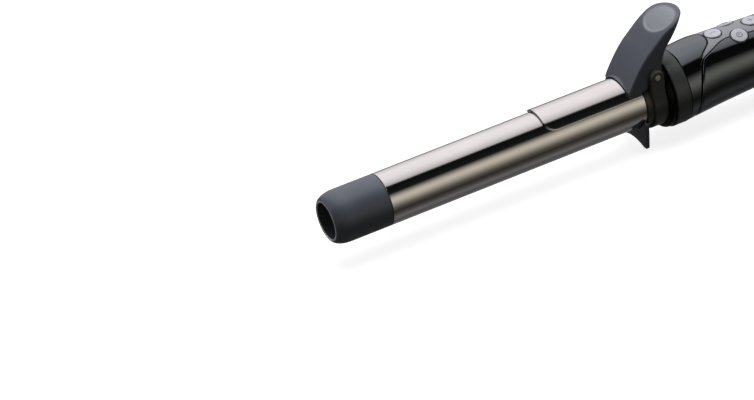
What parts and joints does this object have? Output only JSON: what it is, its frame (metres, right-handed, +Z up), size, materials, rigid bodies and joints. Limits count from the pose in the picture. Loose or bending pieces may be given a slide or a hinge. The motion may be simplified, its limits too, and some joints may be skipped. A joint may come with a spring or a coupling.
{
  "type": "curling iron",
  "caption": "Clamp curling iron: polished barrel with cool tip, sprung clamp and thumb lever, rest foot, slim handle with control buttons and display, and a swivelling cord inlet.",
  "frame": {"origin": "middle of the overall box, at the bottom of the rest foot", "axes": "+X along the barrel and handle, from the cool tip towards the cord inlet; +Y the iron's right side; +Z up, towards the thumb lever"},
  "size_m": [0.3476, 0.0356, 0.0604],
  "materials": {
    "polished_barrel": "polished",
    "satin_slate_plastic": "satin",
    "gloss_black_plastic": "gloss",
    "satin_black_plastic": "satin",
    "panel_grey": "satin",
    "button_silver": "satin",
    "steel": "satin",
    "brass": "satin",
    "aluminium": "satin",
    "ceramic": "matte",
    "heat_resin": "matte",
    "circuit_board": "satin",
    "lead_sleeve": "matte",
    "tinted_lens": "gloss",
    "spring_steel": "satin"
  },
  "bodies": {
    "handle": {"cool_tip": "satin_slate_plastic", "tip_screw": "steel", "barrel_plug": "aluminium", "barrel_tube": "polished_barrel", "heater_shell_upper": "aluminium", "heater_shell_lower": "aluminium", "ceramic_heater": "ceramic", "thermistor": "heat_resin", "thermal_fuse": "steel", "heater_lead_live": "lead_sleeve", "heater_lead_neutral": "lead_sleeve", "sensor_lead": "lead_sleeve", "barrel_bushing": "heat_resin", "hinge_bracket": "satin_black_plastic", "hinge_pin": "steel", "rest_foot": "satin_slate_plastic", "flange_ring": "gloss_black_plastic", "collar_ring": "satin_black_plastic", "nose_cuff": "gloss_black_plastic", "handle_body": "gloss_black_plastic", "chassis_tray": "heat_resin", "control_panel": "panel_grey", "control_board": "circuit_board", "tact_switch_front": "satin_black_plastic", "tact_switch_left": "satin_black_plastic", "tact_switch_right": "satin_black_plastic", "tact_switch_rear": "satin_black_plastic", "display_lens": "tinted_lens", "display_module": "circuit_board", "triac": "satin_black_plastic", "capacitor": "aluminium", "board_screw_front": "steel", "board_screw_rear": "steel", "end_cap": "gloss_black_plastic", "swivel_retainer": "heat_resin", "brush_live": "brass", "brush_neutral": "brass"},
    "clamp": {"clamp_plate": "polished_barrel", "thumb_lever": "satin_slate_plastic", "lever_rivet_left": "steel", "lever_rivet_right": "steel", "torsion_spring": "spring_steel"},
    "front_button": {"button_front": "button_silver"},
    "left_button": {"button_left": "button_silver"},
    "right_button": {"button_right": "button_silver"},
    "rear_button": {"button_rear": "button_silver"},
    "cord_swivel": {"swivel_gland": "satin_black_plastic", "slip_ring_live": "brass", "slip_ring_neutral": "brass"}
  },
  "joints": [
    {"name": "clamp_hinge", "type": "hinge", "parent": "handle", "child": "clamp", "pos_m": [-0.0069, 0, 0.0361], "axis": [0, 1, 0], "range_deg": [0, 30], "stiffness_Nm_per_rad": 0.2, "springref_deg": -28.65, "deforming": ["torsion_spring"]},
    {"name": "front_button_press", "type": "slide", "parent": "handle", "child": "front_button", "axis": [0, 0, -1], "range_m": [0, 0.0008], "stiffness_N_per_m": 1000, "springref_m": -0.0003},
    {"name": "left_button_press", "type": "slide", "parent": "handle", "child": "left_button", "axis": [0, 0.4067, -0.9135], "range_m": [0, 0.0008], "stiffness_N_per_m": 1000, "springref_m": -0.0003},
    {"name": "right_button_press", "type": "slide", "parent": "handle", "child": "right_button", "axis": [0, -0.4067, -0.9135], "range_m": [0, 0.0008], "stiffness_N_per_m": 1000, "springref_m": -0.0003},
    {"name": "rear_button_press", "type": "slide", "parent": "handle", "child": "rear_button", "axis": [0, 0, -1], "range_m": [0, 0.0008], "stiffness_N_per_m": 1000, "springref_m": -0.0003},
    {"name": "cord_swivel_turn", "type": "hinge", "parent": "handle", "child": "cord_swivel", "pos_m": [0.1738, 0, 0.0219], "axis": [1, 0, 0], "continuous": true}
  ]
}
